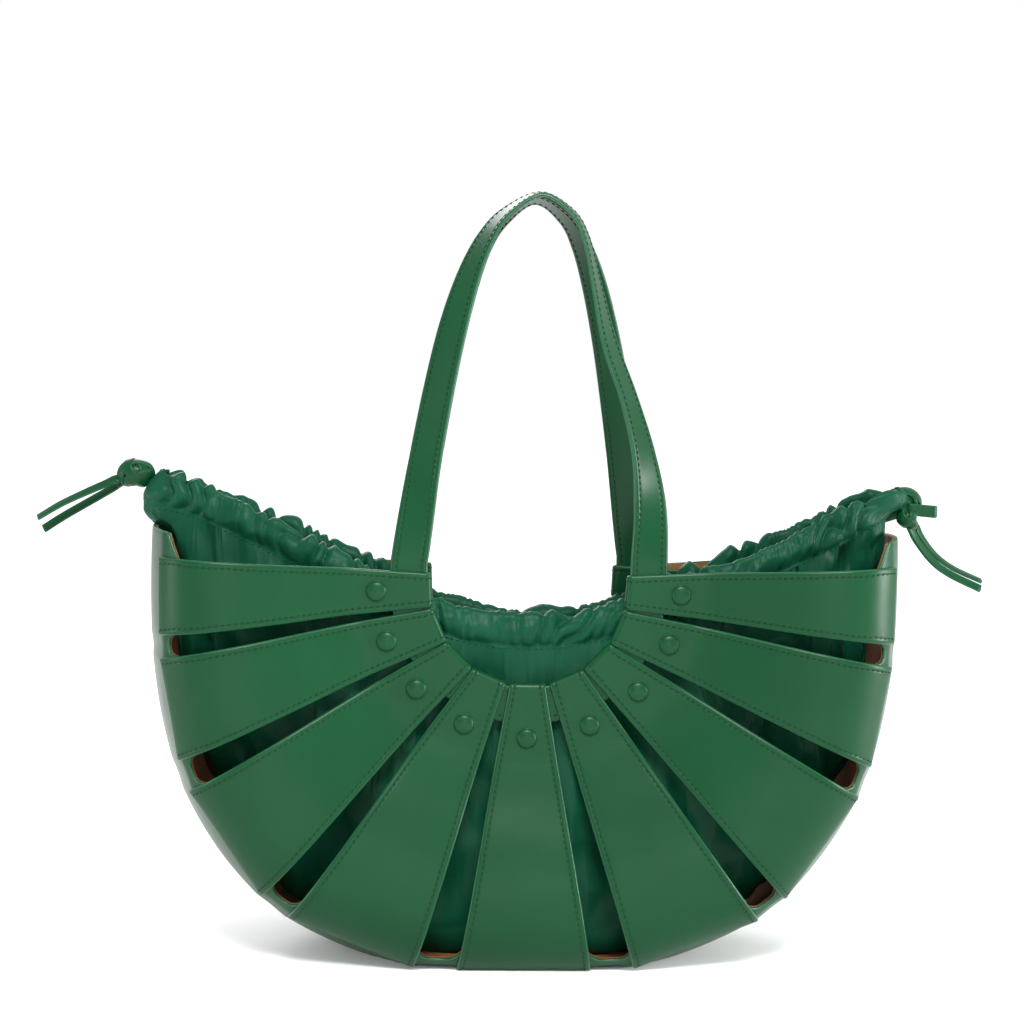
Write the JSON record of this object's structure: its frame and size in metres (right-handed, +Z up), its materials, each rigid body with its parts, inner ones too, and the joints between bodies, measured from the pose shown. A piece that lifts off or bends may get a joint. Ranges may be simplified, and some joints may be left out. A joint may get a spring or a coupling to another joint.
{
  "type": "shoulder bag",
  "caption": "Half-moon shoulder bag: leather straps fan from a round neckline to a curved gusset around a drawstring fabric pouch, with two swinging handles.",
  "frame": {"origin": "under the middle of the bag, on the surface that it stands on", "axes": "+Z up, -Y out of the front panel, +X to the right of someone facing the front"},
  "size_m": [0.6021, 0.149, 0.4786],
  "materials": {
    "green_leather": "smooth, satin, painted edges",
    "tan_lining": "matt suede-like back",
    "pouch_cloth": "satin-faced, wrinkled"
  },
  "bodies": {
    "cage": {"gusset": "green_leather", "gusset_lining": "tan_lining", "front_neck_band": "green_leather", "rear_neck_band": "green_leather", "pouch": "pouch_cloth", "front_strap_1": "green_leather", "front_strap_2": "green_leather", "front_strap_3": "green_leather", "front_strap_4": "green_leather", "front_strap_5": "green_leather", "front_strap_6": "green_leather", "front_strap_7": "green_leather", "front_strap_8": "green_leather", "front_strap_9": "green_leather", "rear_strap_1": "green_leather", "rear_strap_2": "green_leather", "rear_strap_3": "green_leather", "rear_strap_4": "green_leather", "rear_strap_5": "green_leather", "rear_strap_6": "green_leather", "rear_strap_7": "green_leather", "rear_strap_8": "green_leather", "rear_strap_9": "green_leather", "front_stud_1": "green_leather", "front_stud_2": "green_leather", "front_stud_3": "green_leather", "front_stud_4": "green_leather", "front_stud_5": "green_leather", "front_stud_6": "green_leather", "front_stud_7": "green_leather", "front_stud_8": "green_leather", "front_stud_9": "green_leather", "rear_stud_1": "green_leather", "rear_stud_2": "green_leather", "rear_stud_3": "green_leather", "rear_stud_4": "green_leather", "rear_stud_5": "green_leather", "rear_stud_6": "green_leather", "rear_stud_7": "green_leather", "rear_stud_8": "green_leather", "rear_stud_9": "green_leather"},
    "front_handle_arch": {"front_handle": "green_leather"},
    "rear_handle_arch": {"rear_handle": "green_leather"},
    "left_drawstring": {"left_lace": "green_leather", "left_lace_knot": "green_leather", "left_lace_tail_upper": "green_leather", "left_lace_tail_lower": "green_leather"},
    "right_drawstring": {"right_lace": "green_leather", "right_lace_knot": "green_leather", "right_lace_tail_upper": "green_leather", "right_lace_tail_lower": "green_leather"}
  },
  "joints": [
    {"name": "front_handle_swing", "type": "hinge", "parent": "cage", "child": "front_handle_arch", "pos_m": [0, -0.0535, 0.2475], "axis": [1, 0, 0], "range_deg": [0, 180]},
    {"name": "rear_handle_swing", "type": "hinge", "parent": "cage", "child": "rear_handle_arch", "pos_m": [0, 0.0535, 0.2475], "axis": [-1, 0, 0], "range_deg": [0, 180]},
    {"name": "left_drawstring_pull", "type": "slide", "parent": "cage", "child": "left_drawstring", "axis": [-0.9511, 0, 0.309], "range_m": [0, 0.035]},
    {"name": "right_drawstring_pull", "type": "slide", "parent": "cage", "child": "right_drawstring", "axis": [0.9511, 0, 0.309], "range_m": [0, 0.035]}
  ]
}
